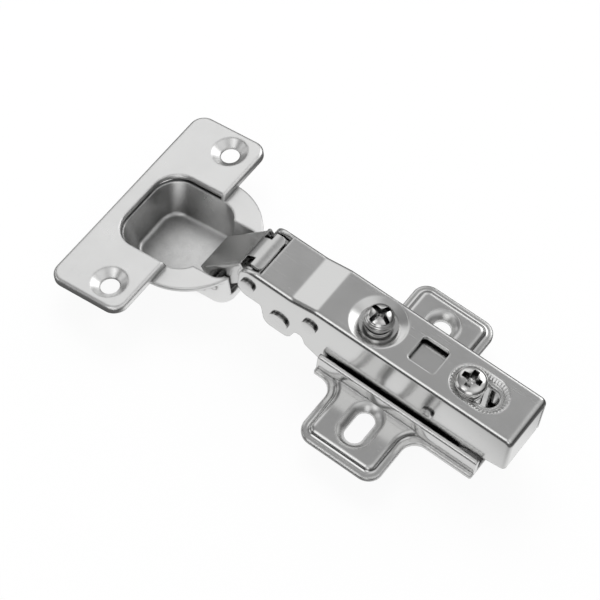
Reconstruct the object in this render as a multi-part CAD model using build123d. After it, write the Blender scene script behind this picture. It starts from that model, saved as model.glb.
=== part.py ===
from build123d import *
import os
from math import acos, atan2, cos, degrees, hypot, radians, sin

# Concealed cabinet hinge in its open pose, in millimetres.
# Origin: mounting face of the plate, midway between its two slots.
# +X runs from the cup to the rear of the arm, +Y from wing to wing, +Z away from the cabinet side.

# Fits shared by several pieces
running_clearance = 0.05
seat_gap = 0.05
sliding_gap = 0.3
rivet_proud = 0.8
pick_margin = 0.01

# Mounting plate
plate_sheet = 1.2
slot_pitch = 32.0
slot_width = 4.8
slot_length = 9.4
slot_dish = 2.1
wing_span = 53.4
wing_width = 22.6
wing_corner = 4.0
wing_root = 4.0
wing_rim = 2.0
emboss_rise = 1.3
emboss_round = 1.2
rail_front = -17.5
rail_rear = 28.2
rail_foot = 1.1
ridge_width = 1.4
ridge_height = 6.3
ridge_round = 0.6
ridge_side_gap = 0.45
bridge_front = -13.5
bridge_bend = 1.6
bridge_side_gap = 0.55
tapped_collar = 3.0
tapped_wall = 1.1

# Hinge arm
arm_width = 15.3
arm_sheet = 1.2
arm_top = 20.5
arm_length = 77.5
top_setback = 5.3
arm_bend = 1.0
crank_front = -28.0
crank_rear = -21.3
crank_drop = 1.4
crank_round = 4.0
ear_margin = 2.9
ear_drop = 1.6
ear_bottom = 8.2
ear_round = 3.0
wall_bottom = 2.1
lobe_front = 4.0
lobe_rear = 3.2
lobe_draft = 1.5
lobe_round = 2.4
notch_top = 6.6
notch_width = 2.1
notch_round = 1.0
heel_rise = 2.0
heel_run = 4.8
taper_start = 1.8
taper_round = 6.0
rear_wall_bottom = 8.4
end_fold_gap = 0.75
end_fold_bottom = 8.6
end_fold_bend = 1.8
window_x = 6.05
window_side = 7.3
window_corner = 0.8
dish_depth = 1.2
side_screw_x = -8.2
side_dish_mouth = 7.4
side_dish_base = 4.8
side_dish_lip = 5.0
clamp_screw_x = 17.85
depth_travel = 5.0
clamp_dish_draft = 35.0

# Screws
side_screw_thread = 6.0
side_screw_head = 7.5
side_head_height = 5.1
side_head_round = 1.4
side_recess_span = 6.4
side_recess_turn = -18.0
side_screw_neck = 3.4
side_screw_button = 1.7
clamp_screw_thread = 5.0
clamp_screw_flange = 8.0
clamp_screw_head = 7.0
clamp_head_height = 3.4
clamp_head_round = 1.0
clamp_recess_span = 4.6
clamp_recess_turn = 3.0
screw_seat_gap = 0.1
screw_flange_height = 0.6
screw_tip = 0.6
recess_arm = 1.3
recess_depth = 1.6
recess_taper = 14.0

# Pins in the arm, as places in X and Z with shank and rivet head diameters
outer_pivot = (-40.1, 13.2)
inner_pivot = (-30.4, 7.1)
spring_pivot = (-22.0, 13.5)
guide_place = (12.4, 10.9)
outer_pin_size = (3.0, 3.7)
inner_pin_size = (3.6, 4.4)
spring_pin_size = (2.8, 3.5)
guide_pin_size = (2.6, 3.2)

# Cup, in its own plane: U across the flange towards the arm, V along it, W out of the door
cup_line = (-68.75, 5.82)
open_lean = 11.3
cup_diameter = 35.0
cup_offset = 6.2
cup_sheet = 1.1
cup_depth = 12.0
flange_hole_pitch = 48.0
flange_hole = 4.8
flange_countersink = 9.2
flange_length = 60.8
flange_back = 14.2
flange_front = 7.5
flange_corner = 3.8
flange_edge = 1.9
flange_round = 0.9
dimple_wall = 0.4
sink_slope = 0.7
step_down = 1.9
pocket_back = -9.6
pocket_front = 13.8
pocket_width = 24.8
pocket_corner = 7.0
pocket_draft_width = 16.4
pocket_draft_back = 2.2
pocket_floor_corner = 4.5
pocket_floor_round = 1.2
neck_width = 16.4
neck_front = 21.6
neck_corner = 3.0
neck_gate_width = 12.9
neck_gate_depth = 8.2
cup_pin_diameter = 2.0
outer_cup_pivot = (16.0, -6.9)
inner_cup_pivot = (19.4, -4.3)

# Outer link
link_sheet = 1.0
link_side_gap = 0.25
link_shoulder = 0.8
link_barrel = 5.6
link_barrel_start = 73.0
link_lid_corner = 1.3
link_web_offset = 3.4
link_web_tail = 1.4
link_cheek_depth = 2.1
link_cup_eye = 2.4
link_notch = 2.6
link_notch_width = 2.2
link_notch_angle = 118.0

# Inner link, with the play that its cup eye needs along and across the link
inner_arm_eye = 3.7
inner_link_cheek = 1.3
inner_cup_play = 2.1
inner_cup_side_play = 0.6
inner_cup_drop = 0.45
inner_cup_wall = 0.85

# Closing spring
spring_strip = 0.6
spring_width = 6.4
spring_loop_gap = 0.1
spring_rest_gap = 0.3

# Values worked out from the driving dimensions
arm_inside = arm_width - 2 * arm_sheet
arm_floor = arm_top - arm_sheet
front_top = arm_top - crank_drop
front_floor = front_top - arm_sheet
ear_front = outer_pivot[0] - ear_margin
arm_front = ear_front + top_setback
arm_rear = ear_front + arm_length
recess_floor = arm_top - dish_depth
bridge_width = arm_inside - 2 * bridge_side_gap
bridge_inside = bridge_width - 2 * plate_sheet
bridge_height = recess_floor - arm_sheet - seat_gap
bridge_under = bridge_height - plate_sheet
collar_radius = clamp_screw_thread / 2 + tapped_wall
bridge_rear = clamp_screw_x + collar_radius
ridge_inside = arm_width + 2 * ridge_side_gap
ridge_outside = ridge_inside + 2 * ridge_width
rail_width = ridge_outside + 2 * rail_foot
rail_length = rail_rear - rail_front
rail_middle = (rail_front + rail_rear) / 2
wing_top = plate_sheet + emboss_rise
link_width = arm_inside - 2 * link_side_gap
link_web_width = link_width - 2 * link_shoulder
link_arm_eye = front_floor - outer_pivot[1] - 2 * sliding_gap
inner_link_width = link_web_width - 2 * (link_sheet + sliding_gap)
cup_outer_width = neck_width + 2 * cup_sheet
lean = radians(open_lean)
cup_plane = Plane(
    origin=(cup_line[0], 0, cup_line[1]),
    x_dir=(cos(lean), 0, sin(lean)),
    z_dir=(-sin(lean), 0, cos(lean)),
)


def cup_place(u, w):
    """X and Z of a point of the cup's own plane."""
    point = cup_plane.from_local_coords(Vector(u, 0, w))
    return (point.X, point.Z)


outer_cup_place = cup_place(*outer_cup_pivot)
inner_cup_place = cup_place(*inner_cup_pivot)


def polar(centre, radius, angle):
    """Point at an angle in degrees from +X towards +Z."""
    return (centre[0] + radius * cos(radians(angle)), centre[1] + radius * sin(radians(angle)))


def along(point, angle, distance):
    """Point moved by a distance in a direction given in degrees from +X towards +Z."""
    return polar(point, distance, angle)


def side_sketch(*faces):
    """Faces drawn in X and Z, joined and stood on the XZ plane."""
    sketch = Sketch() + list(faces)
    return Plane.XZ * sketch


def slab(sketch, near, far):
    """A side sketch made solid from one Y to another."""
    solid = extrude(sketch, amount=(far - near) / 2, both=True)
    return Pos(0, (near + far) / 2, 0) * solid


def both_sides(sketch, inner, outer):
    """A pair of equal cheeks from a side sketch, at +Y and -Y."""
    return slab(sketch, inner, outer) + slab(sketch, -outer, -inner)


def disc(centre, radius):
    """Round face at a place in X and Z."""
    return Pos(*centre) * Circle(radius)


def cross_bore(centre, diameter, length):
    """Cylinder along Y through a place in X and Z."""
    return Pos(centre[0], 0, centre[1]) * Rot(90, 0, 0) * Cylinder(diameter / 2, length)


def upright(x, radius, bottom, top):
    """Cylinder along Z at a place on the arm's centre line."""
    return Pos(x, 0, bottom) * Cylinder(radius, top - bottom, align=(Align.CENTER, Align.CENTER, Align.MIN))


def block(x_from, x_to, width, z_from, z_to):
    """Box centred on Y."""
    middle = ((x_from + x_to) / 2, 0, (z_from + z_to) / 2)
    return Pos(*middle) * Box(x_to - x_from, width, z_to - z_from)


def rivet(centre, size, length):
    """Cross pin with a low rivet head at each end, proud of the walls."""
    shank, head = size
    pin = cross_bore(centre, shank, length + 2 * rivet_proud)
    for side in (-1, 1):
        middle = side * (length + rivet_proud) / 2
        pin += Pos(0, middle, 0) * cross_bore(centre, head, rivet_proud)
    return pin


def slot_outline(width, length):
    """Round-ended slot along Y."""
    return Rot(0, 0, 90) * SlotOverall(length, width)


def make_plate():
    """Cruciform pressing: embossed wings, dished slots, ridges beside the arm and a bridge inside it."""
    wings = RectangleRounded(wing_width, wing_span, wing_corner)
    rail = Pos(rail_middle, 0) * RectangleRounded(rail_length, rail_width, rail_foot / 2)
    outline = wings + rail
    roots = [v for v in outline.vertices() if abs(abs(v.X) - wing_width / 2) < pick_margin
             and abs(abs(v.Y) - rail_width / 2) < pick_margin]
    outline = fillet(roots, wing_root)
    plate = extrude(outline, plate_sheet)
    plate = chamfer(plate.faces().sort_by(Axis.Z)[-1].edges(), plate_sheet / 4)

    raised = offset(outline, -wing_rim)
    pads = extrude(raised, wing_top)
    pads = fillet(pads.faces().sort_by(Axis.Z)[-1].edges(), emboss_round)
    plate += pads - block(rail_front, rail_rear, ridge_inside, 0, wing_top)
    hollow = offset(raised, -plate_sheet)
    hollow -= Rectangle(2 * rail_length, ridge_outside)
    sink_depth = emboss_rise + plate_sheet / 3
    sink_angle = degrees(atan2(slot_dish, sink_depth))
    for side in (-1, 1):
        at_slot = Pos(0, side * slot_pitch / 2)
        dish = at_slot * slot_outline(slot_width + 2 * slot_dish, slot_length + 2 * slot_dish)
        hollow -= dish
        plate -= extrude(Pos(0, 0, wing_top) * dish, -sink_depth, taper=sink_angle)
        plate -= extrude(at_slot * slot_outline(slot_width, slot_length), wing_top)
        ridge = Pos(rail_middle, side * (ridge_outside - ridge_width) / 2, ridge_height / 2) * Box(
            rail_length, ridge_width, ridge_height)
        plate += fillet(ridge.faces().sort_by(Axis.Z)[-1].edges().filter_by(Axis.X), ridge_round)
    plate -= extrude(hollow, emboss_rise)

    bridge = block(bridge_front, bridge_rear, bridge_width, 0, bridge_height)
    bridge = fillet(bridge.faces().sort_by(Axis.Z)[-1].edges().filter_by(Axis.X), bridge_bend)
    bridge -= block(bridge_front, bridge_rear, bridge_inside, 0, bridge_under)
    bridge -= block(clamp_screw_x, bridge_rear, bridge_width, bridge_under, bridge_height)
    bridge += upright(clamp_screw_x, collar_radius, bridge_under - tapped_collar, bridge_height)
    key_width = side_screw_neck + 2 * sliding_gap
    bridge -= block(bridge_front, side_screw_x, key_width, bridge_under, bridge_height)
    bridge -= upright(side_screw_x, key_width / 2, bridge_under, bridge_height)
    guide_path = side_sketch(Pos(guide_place[0] - depth_travel / 2, guide_place[1])
                             * SlotCenterToCenter(depth_travel, guide_pin_size[0] + 2 * sliding_gap))
    bridge -= slab(guide_path, -bridge_width, bridge_width)
    plate += bridge
    bore = clamp_screw_thread / 2 + running_clearance
    plate -= upright(clamp_screw_x, bore, bridge_under - tapped_collar, bridge_height)
    plate -= block(bridge_front, bridge_rear, bridge_inside, 0, plate_sheet)
    return plate


def wall_outline():
    """Side view of the arm's lower edges: ears, a lobe round the lower pin, a notch and a rising rear."""
    ear_reach = top_setback - ear_drop
    lobe_x = inner_pivot[0]
    notch_x = lobe_x + lobe_rear + lobe_draft
    heel_x = notch_x + notch_width + heel_rise / 2
    corners = [
        (ear_front, front_top - ear_drop, ear_round),
        (ear_front, ear_bottom, ear_round),
        (lobe_x - lobe_front - lobe_draft, ear_bottom, lobe_round / 2),
        (lobe_x - lobe_front, wall_bottom, lobe_round),
        (lobe_x + lobe_rear, wall_bottom, lobe_round),
        (notch_x, notch_top, notch_round),
        (notch_x + notch_width, notch_top, notch_round),
        (heel_x, wall_bottom + heel_rise, notch_round),
        (heel_x + heel_run, wall_bottom, lobe_round),
        (taper_start, wall_bottom, taper_round),
        (arm_rear + arm_sheet, rear_wall_bottom, 0),
        (arm_rear + arm_sheet, arm_top + arm_sheet, 0),
        (arm_front + ear_reach, front_top + ear_drop, 0),
    ]
    path = [(x, z) for x, z, r in corners]
    return make_face(FilletPolyline(*path, radius=[r for x, z, r in corners], close=True))


def dish_form():
    """Round dish in the arm's top, its side an S of two equal arcs: a soft lip and a soft base."""
    run = side_dish_mouth - side_dish_base
    steepest = 2 * degrees(atan2(dish_depth, run))
    bend = run / (2 * sin(radians(steepest)))
    lip_centre = (side_dish_mouth, arm_top - bend)
    base_centre = (side_dish_base, recess_floor + bend)
    lip_start = polar(lip_centre, bend, 90 + side_dish_lip)
    middle = polar(lip_centre, bend, 90 + steepest)
    base_end = (side_dish_base, recess_floor)
    outside = along(lip_start, side_dish_lip, run)
    profile = make_face(Curve() + [
        Polyline((0, recess_floor), (0, arm_top + run), (outside[0], arm_top + run), outside, lip_start),
        ThreePointArc(lip_start, polar(lip_centre, bend, 90 + (steepest + side_dish_lip) / 2), middle),
        ThreePointArc(middle, polar(base_centre, bend, steepest / 2 - 90), base_end),
        Line(base_end, (0, recess_floor))])
    return revolve(side_sketch(profile), Axis.Z)


def make_arm():
    """U-channel pressing: ears for the pins, cranked top, two pressed recesses, window and folded end."""
    front_end = ear_front - arm_sheet
    rear_end = arm_rear + arm_sheet
    roof_side = make_face(FilletPolyline(
        (front_end, 0), (front_end, front_top), (crank_front, front_top), (crank_rear, arm_top),
        (arm_rear, arm_top), (arm_rear, 0),
        radius=[0, 0, crank_round, crank_round, end_fold_bend, 0], close=True))
    roof = slab(side_sketch(roof_side), -arm_width / 2, arm_width / 2)
    along_top = [e for e in roof.edges() if abs(abs(e.center().Y) - arm_width / 2) < pick_margin
                 and e.center().Z > front_top - end_fold_bend]
    envelope = fillet(along_top, arm_bend) & slab(side_sketch(wall_outline()), -arm_width, arm_width)
    inside = Polygon(
        (front_end, 0), (rear_end, 0), (rear_end, arm_floor), (crank_rear, arm_floor),
        (crank_front, front_floor), (front_end, front_floor), align=None)
    arm = envelope - slab(side_sketch(inside), -arm_inside / 2, arm_inside / 2)
    arm -= block(front_end, arm_front, arm_inside, 0, arm_top)

    fold = Polygon(
        (arm_rear - arm_sheet, end_fold_bottom), (rear_end, end_fold_bottom), (rear_end, arm_top),
        (arm_rear - arm_sheet, arm_top), align=None)
    arm += slab(side_sketch(fold), -arm_width / 2, arm_inside / 2 - end_fold_gap) & envelope

    hang = (Align.CENTER, Align.CENTER, Align.MAX)
    arm += Pos(side_screw_x, 0, arm_floor) * Cone(
        side_dish_base + arm_sheet / 2, arm_inside / 2, dish_depth, align=hang)
    arm -= Pos(side_screw_x, 0, 0) * dish_form()
    arm -= upright(side_screw_x, side_screw_thread / 2 + running_clearance, 0, arm_top)

    slot_middle = Pos(clamp_screw_x + depth_travel / 2, 0)
    slot = slot_middle * SlotCenterToCenter(depth_travel, clamp_screw_thread + 2 * sliding_gap)
    dish_radius = clamp_screw_flange / 2 + sliding_gap + dish_depth * sin(radians(clamp_dish_draft))
    dish = slot_middle * SlotCenterToCenter(depth_travel, 2 * dish_radius)
    arm += extrude(Pos(0, 0, arm_floor) * dish, -dish_depth)
    arm -= extrude(Pos(0, 0, arm_top) * dish, -dish_depth, taper=clamp_dish_draft)
    arm -= extrude(slot, arm_top)
    window = Pos(window_x, 0, arm_floor) * RectangleRounded(window_side, window_side, window_corner)
    arm -= extrude(window, arm_sheet)
    for place, size in ((outer_pivot, outer_pin_size), (inner_pivot, inner_pin_size),
                        (spring_pivot, spring_pin_size), (guide_place, guide_pin_size)):
        arm -= cross_bore(place, size[0], 2 * arm_width)
    return arm


def cross_recess(span, turn, top):
    """Cross-shaped driver recess, turned in the head and tapering to its floor."""
    arms = Rectangle(span, recess_arm) + Rectangle(recess_arm, span)
    return extrude(Pos(0, 0, top) * Rot(0, 0, turn) * arms, -recess_depth, taper=recess_taper)


def make_side_screw():
    """Front screw: tall round head, thread in the arm, grooved tip held in the bridge's key slot."""
    seat = recess_floor + screw_seat_gap
    head_top = seat + side_head_height
    neck_top = bridge_height + sliding_gap
    button_top = bridge_under - sliding_gap
    head = upright(0, side_screw_head / 2, seat, head_top)
    head = fillet(head.faces().sort_by(Axis.Z)[-1].edges(), side_head_round)
    screw = head + upright(0, side_screw_thread / 2, neck_top, seat)
    screw += upright(0, side_screw_neck / 2, button_top, neck_top)
    screw += upright(0, side_screw_thread / 2, button_top - side_screw_button, button_top)
    screw -= cross_recess(side_recess_span, side_recess_turn, head_top)
    return Pos(side_screw_x, 0, 0) * screw


def make_clamp_screw():
    """Rear screw: flanged head in the arm's slot, thread in the bridge's tapped collar."""
    seat = recess_floor + screw_seat_gap
    flange_top = seat + screw_flange_height
    head_top = seat + clamp_head_height
    tip = bridge_under - tapped_collar - screw_tip
    head = upright(0, clamp_screw_head / 2, flange_top, head_top)
    head = fillet(head.faces().sort_by(Axis.Z)[-1].edges(), clamp_head_round)
    screw = head + upright(0, clamp_screw_flange / 2, seat, flange_top)
    screw += upright(0, clamp_screw_thread / 2, tip, seat)
    screw -= cross_recess(clamp_recess_span, clamp_recess_turn, head_top)
    return Pos(clamp_screw_x, 0, 0) * screw


def link_line():
    """Direction and outward normal of the outer link's web, tangent to its barrel, in degrees."""
    run = (outer_cup_place[0] - outer_pivot[0], outer_cup_place[1] - outer_pivot[1])
    heading = degrees(atan2(run[1], run[0]))
    normal = (heading - degrees(acos((link_barrel - link_web_offset) / hypot(*run)))) % 360
    return normal + 90, normal


def make_outer_link():
    """Pressed link: barrel over the front pin, flat web into the cup, cheeks with an eye at each end."""
    heading, normal = link_line()
    start = polar(outer_pivot, link_barrel, link_barrel_start)
    start_in = polar(outer_pivot, link_barrel - link_sheet, link_barrel_start)
    turn = polar(outer_pivot, link_barrel, normal)
    turn_in = polar(outer_pivot, link_barrel - link_sheet, normal)
    half = (link_barrel_start + normal) / 2
    end = along(along(outer_cup_place, normal, link_web_offset), heading, link_web_tail)
    end_in = along(end, normal, -link_sheet)
    barrel = make_face(Wire([
        ThreePointArc(start, polar(outer_pivot, link_barrel, half), turn),
        Line(turn, turn_in),
        ThreePointArc(turn_in, polar(outer_pivot, link_barrel - link_sheet, half), start_in),
        Line(start_in, start)]))
    web = Polygon(turn, end, end_in, turn_in, align=None)
    lid = slab(side_sketch(barrel), -link_web_width / 2, link_web_width / 2)
    end_middle = polar(outer_pivot, link_barrel - link_sheet / 2, link_barrel_start)
    lid_corners = [e for e in lid.edges() if abs(e.center().X - end_middle[0]) < pick_margin
                   and abs(e.center().Z - end_middle[1]) < pick_margin and abs(e.center().Y) > pick_margin]
    link = fillet(lid_corners, link_lid_corner)
    link += slab(side_sketch(web), -link_web_width / 2, link_web_width / 2)

    shoulder = link_notch_angle + degrees(link_notch / 2 / link_barrel)
    shoulder_start = polar(outer_pivot, link_barrel, shoulder)
    shoulder_middle = polar(outer_pivot, link_barrel, (shoulder + normal) / 2)
    fan = make_face(Wire([
        Line(outer_pivot, shoulder_start),
        ThreePointArc(shoulder_start, shoulder_middle, turn),
        Line(turn, outer_pivot)]))
    depth = along(end, normal, -link_cheek_depth)
    strip = Polygon(turn, end, depth, along(turn, normal, -link_barrel * 0.9), align=None)
    lap = link_cup_eye
    eye_web = along(outer_cup_place, normal, link_web_offset)
    eye = Polygon(
        along(eye_web, heading, -lap), along(eye_web, heading, link_web_tail),
        along(outer_cup_place, heading, lap), along(outer_cup_place, heading, -lap), align=None)
    arm_cheek = side_sketch(disc(outer_pivot, link_arm_eye), fan)
    cup_cheek = side_sketch(strip, eye, disc(outer_cup_place, link_cup_eye))
    cheek_inner = link_web_width / 2 - link_sheet
    link += both_sides(arm_cheek, link_width / 2 - link_sheet, link_width / 2)
    link += both_sides(cup_cheek, cheek_inner, link_web_width / 2)
    notch = polar(outer_pivot, link_barrel, link_notch_angle)
    notch_cut = side_sketch(Pos(*notch) * Rot(0, 0, link_notch_angle) * Rectangle(3 * link_sheet, link_notch))
    link -= both_sides(notch_cut, link_web_width / 2 - link_notch_width, link_web_width / 2)
    pin_room = disc(inner_cup_place, cup_pin_diameter / 2 + sliding_gap)
    link -= slab(side_sketch(pin_room), -link_width, link_width)
    link -= cross_bore(outer_pivot, outer_pin_size[0] + 2 * running_clearance, 2 * link_width)
    link -= cross_bore(outer_cup_place, cup_pin_diameter + 2 * running_clearance, 2 * link_width)
    return link


def make_inner_link():
    """Channel-shaped link under the outer one; its cup eye is a slot, the open pivot of the linkage."""
    run = (inner_cup_place[0] - inner_pivot[0], inner_cup_place[1] - inner_pivot[1])
    heading = degrees(atan2(run[1], run[0]))
    slot_radius = cup_pin_diameter / 2 + inner_cup_side_play
    eye_radius = slot_radius + inner_cup_wall
    slot_end = along(inner_cup_place, heading + 90, inner_cup_drop)
    slot_start = along(slot_end, heading + 180, inner_cup_play)
    middle = ((slot_end[0] + slot_start[0]) / 2, (slot_end[1] + slot_start[1]) / 2)
    eye = Pos(*middle) * Rot(0, 0, heading) * SlotCenterToCenter(inner_cup_play, 2 * eye_radius)
    bar = Polygon(
        along(inner_pivot, heading + 90, inner_arm_eye), along(slot_start, heading + 90, eye_radius),
        along(slot_start, heading - 90, eye_radius), along(inner_pivot, heading - 90, inner_arm_eye),
        align=None)
    sketch = side_sketch(disc(inner_pivot, inner_arm_eye), bar, eye)
    link = slab(sketch, -inner_link_width / 2, inner_link_width / 2)
    cheek_inside = inner_link_width - 2 * inner_link_cheek
    floor = Polygon(
        along(inner_pivot, heading - 90, 2 * inner_arm_eye),
        along(inner_cup_place, heading - 90, 2 * inner_arm_eye),
        along(slot_start, heading + 90, eye_radius - link_sheet),
        along(inner_pivot, heading + 90, inner_arm_eye - link_sheet), align=None)
    link -= slab(side_sketch(floor), -cheek_inside / 2, cheek_inside / 2)
    slot = Pos(*middle) * Rot(0, 0, heading) * SlotCenterToCenter(inner_cup_play, 2 * slot_radius)
    link -= slab(side_sketch(slot), -inner_link_width, inner_link_width)
    link -= cross_bore(inner_pivot, inner_pin_size[0] + 2 * running_clearance, 2 * inner_link_width)
    return link


def make_spring():
    """Strip spring: a loop round its pin, a leg under the arm's top and a leg on the inner link's eye."""
    inner = spring_pin_size[0] / 2 + spring_loop_gap
    outer = inner + spring_strip
    gap = hypot(spring_pivot[0] - inner_pivot[0], spring_pivot[1] - inner_pivot[1])
    heading = degrees(atan2(inner_pivot[1] - spring_pivot[1], inner_pivot[0] - spring_pivot[0]))
    reach = inner_arm_eye + spring_rest_gap
    normal = heading - degrees(acos((outer - reach - spring_strip) / gap))
    leg_start = polar(spring_pivot, outer, normal)
    leg_end = polar(inner_pivot, reach + spring_strip, normal)
    leg = Polygon(
        leg_start, leg_end, polar(inner_pivot, reach, normal), polar(spring_pivot, inner, normal), align=None)
    loop = disc(spring_pivot, outer) - disc(spring_pivot, inner)
    sketch = side_sketch(loop, leg)
    return slab(sketch, -spring_width / 2, spring_width / 2)


def pocket_form(mouth_w, floor_w, wall, floor_round):
    """Drafted pocket from a wide mouth to a narrower floor, grown sideways by a wall."""
    mouth = Pos((pocket_front + pocket_back) / 2, 0, mouth_w) * RectangleRounded(
        pocket_front - pocket_back + 2 * wall, pocket_width + 2 * wall, pocket_corner + wall)
    base_back = pocket_back + pocket_draft_back
    base = Pos((pocket_front + base_back) / 2, 0, floor_w) * RectangleRounded(
        pocket_front - base_back + 2 * wall, pocket_draft_width + 2 * wall, pocket_floor_corner + wall)
    form = loft([mouth.face(), base.face()])
    return fillet(form.faces().sort_by(Axis.Z)[0].edges(), floor_round)


def neck_form(floor_w, wall, floor_round):
    """Straight neck that carries on the pocket's floor towards the arm, grown sideways by a wall."""
    back = pocket_front - neck_width / 2
    form = Pos((back + neck_front) / 2, 0, floor_w) * RectangleRounded(
        neck_front - back + 2 * wall, neck_width + 2 * wall, neck_corner + wall)
    form = extrude(form, -floor_w - step_down)
    return fillet(form.faces().sort_by(Axis.Z)[0].edges(), floor_round)


def make_cup():
    """Drawn cup: flange with two screw holes, stepped round rim, drafted pocket and a neck for the links."""
    flange_run = flange_back + flange_front
    flange_middle = Pos((flange_front - flange_back) / 2, 0)
    cup = extrude(flange_middle * RectangleRounded(flange_run, flange_length, flange_corner), -flange_edge)
    cup = fillet(cup.faces().sort_by(Axis.Z)[-1].edges(), flange_round)
    under = Pos(0, 0, -flange_edge) * flange_middle * RectangleRounded(
        flange_run - 2 * cup_sheet, flange_length - 2 * cup_sheet, flange_corner - cup_sheet)
    cup -= extrude(under, flange_edge - cup_sheet)

    outer_round = pocket_floor_round + cup_sheet
    rim = extrude(Pos(cup_offset, 0, -step_down) * Circle(cup_diameter / 2), -cup_sheet)
    bored_hole = Pos(cup_offset, 0, 0) * Cylinder(cup_diameter / 2, 3 * cup_depth)
    cup += rim
    cup += pocket_form(-flange_edge, -cup_depth, cup_sheet, outer_round) & bored_hole
    cup += neck_form(-cup_depth, cup_sheet, outer_round) & bored_hole
    floor_w = cup_sheet - cup_depth
    cup -= pocket_form(0, floor_w, 0, pocket_floor_round)
    neck = neck_form(floor_w, 0, pocket_floor_round)
    cup -= neck
    cup -= Pos(0, 0, step_down) * neck
    cup -= Pos(neck_front, 0, -neck_gate_depth) * Box(
        neck_width, neck_gate_width, cup_depth, align=(Align.CENTER, Align.CENTER, Align.MIN))
    hang = (Align.CENTER, Align.CENTER, Align.MAX)
    sink_depth = sink_slope * (flange_countersink - flange_hole) / 2
    for side in (-1, 1):
        hole_v = side * flange_hole_pitch / 2
        dimple = Cylinder(flange_countersink / 2 + dimple_wall, flange_edge - flange_round, align=hang)
        cup += Pos(0, hole_v, -flange_round) * dimple
        cup -= Pos(0, hole_v, 0) * Cone(flange_hole / 2, flange_countersink / 2, sink_depth, align=hang)
        cup -= Pos(0, hole_v, 0) * Cylinder(flange_hole / 2, 4 * flange_edge)
    cup = cup_plane * cup
    for place in (outer_cup_place, inner_cup_place):
        cup -= cross_bore(place, cup_pin_diameter, 2 * cup_diameter)
    return cup


def make_outer_cup_pin():
    """Two stub pins in the neck's walls, one for each cheek of the outer link."""
    stubs = cross_bore(outer_cup_place, cup_pin_diameter, cup_outer_width)
    return stubs - cross_bore(outer_cup_place, 2 * cup_pin_diameter, link_web_width - 2 * link_sheet)


def make_inner_cup_pin():
    """Plain pin right across the neck, flush with the outside of its walls."""
    return cross_bore(inner_cup_place, cup_pin_diameter, cup_outer_width)


pieces = {
    "mounting_plate": make_plate(),
    "hinge_arm": make_arm(),
    "clamp_screw": make_clamp_screw(),
    "side_adjusting_screw": make_side_screw(),
    "outer_link": make_outer_link(),
    "inner_link": make_inner_link(),
    "outer_link_pin": rivet(outer_pivot, outer_pin_size, arm_width),
    "inner_link_pin": rivet(inner_pivot, inner_pin_size, arm_width),
    "spring_pin": rivet(spring_pivot, spring_pin_size, arm_width),
    "guide_pin": rivet(guide_place, guide_pin_size, arm_width),
    "closing_spring": make_spring(),
    "hinge_cup": make_cup(),
    "outer_cup_pin": make_outer_cup_pin(),
    "inner_cup_pin": make_inner_cup_pin(),
}

os.makedirs("parts", exist_ok=True)
for name, piece in pieces.items():
    export_step(piece, f"parts/{name}.step")
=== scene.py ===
"""Looks of a concealed cabinet hinge in bright nickel plate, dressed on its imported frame.

Every length is in metres, in the frame's own axes: +X from the door cup to the rear of the arm,
+Y from wing to wing of the plate, +Z away from the cabinet side.
"""
import logging
import math
from dataclasses import dataclass, field
from enum import Enum
from functools import cache

import bpy
import numpy as np
from mathutils import Matrix, Vector


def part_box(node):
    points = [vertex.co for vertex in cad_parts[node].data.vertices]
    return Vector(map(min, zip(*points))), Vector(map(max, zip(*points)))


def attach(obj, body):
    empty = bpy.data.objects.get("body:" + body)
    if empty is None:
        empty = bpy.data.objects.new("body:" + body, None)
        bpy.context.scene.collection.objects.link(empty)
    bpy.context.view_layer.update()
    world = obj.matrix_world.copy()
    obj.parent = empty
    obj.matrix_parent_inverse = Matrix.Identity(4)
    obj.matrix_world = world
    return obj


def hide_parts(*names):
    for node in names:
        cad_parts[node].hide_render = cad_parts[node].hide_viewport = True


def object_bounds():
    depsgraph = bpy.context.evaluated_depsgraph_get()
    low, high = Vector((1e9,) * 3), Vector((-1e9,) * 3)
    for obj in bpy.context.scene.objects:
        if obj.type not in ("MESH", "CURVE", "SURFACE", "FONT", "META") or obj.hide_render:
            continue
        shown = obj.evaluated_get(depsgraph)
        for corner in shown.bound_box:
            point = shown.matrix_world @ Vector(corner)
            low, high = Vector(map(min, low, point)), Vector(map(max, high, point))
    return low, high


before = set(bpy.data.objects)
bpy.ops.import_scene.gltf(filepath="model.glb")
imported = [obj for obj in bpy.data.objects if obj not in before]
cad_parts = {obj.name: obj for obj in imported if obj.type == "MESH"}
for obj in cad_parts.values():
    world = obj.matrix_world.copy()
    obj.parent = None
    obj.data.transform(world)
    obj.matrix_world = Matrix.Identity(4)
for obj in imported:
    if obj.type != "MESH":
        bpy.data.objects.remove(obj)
CAD_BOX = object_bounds()
LOG = logging.getLogger("cabinet_hinge")
MM = 0.001
MICRON = 0.000001
Source = bpy.types.NodeSocket | Vector | tuple | float


class Grain(Enum):
    """Which way the rolled or turned steel's fine lines run, as a stretch of the pattern."""

    ALONG_ARM = (1.0, 60.0, 60.0)
    ALONG_FLANGE = (60.0, 1.0, 60.0)
    TURNED = (1.0, 1.0, 60.0)


class Ring(Enum):
    """Rings under a screw's head, from the head down, as radius and height in millimetres."""

    UNDERCUT = ((3.10, 1.60), (3.35, 0.40))
    STEPPED_NECK = ((3.30, 0.30), (3.44, 0.35), (3.30, 0.20), (3.42, 0.65))


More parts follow.
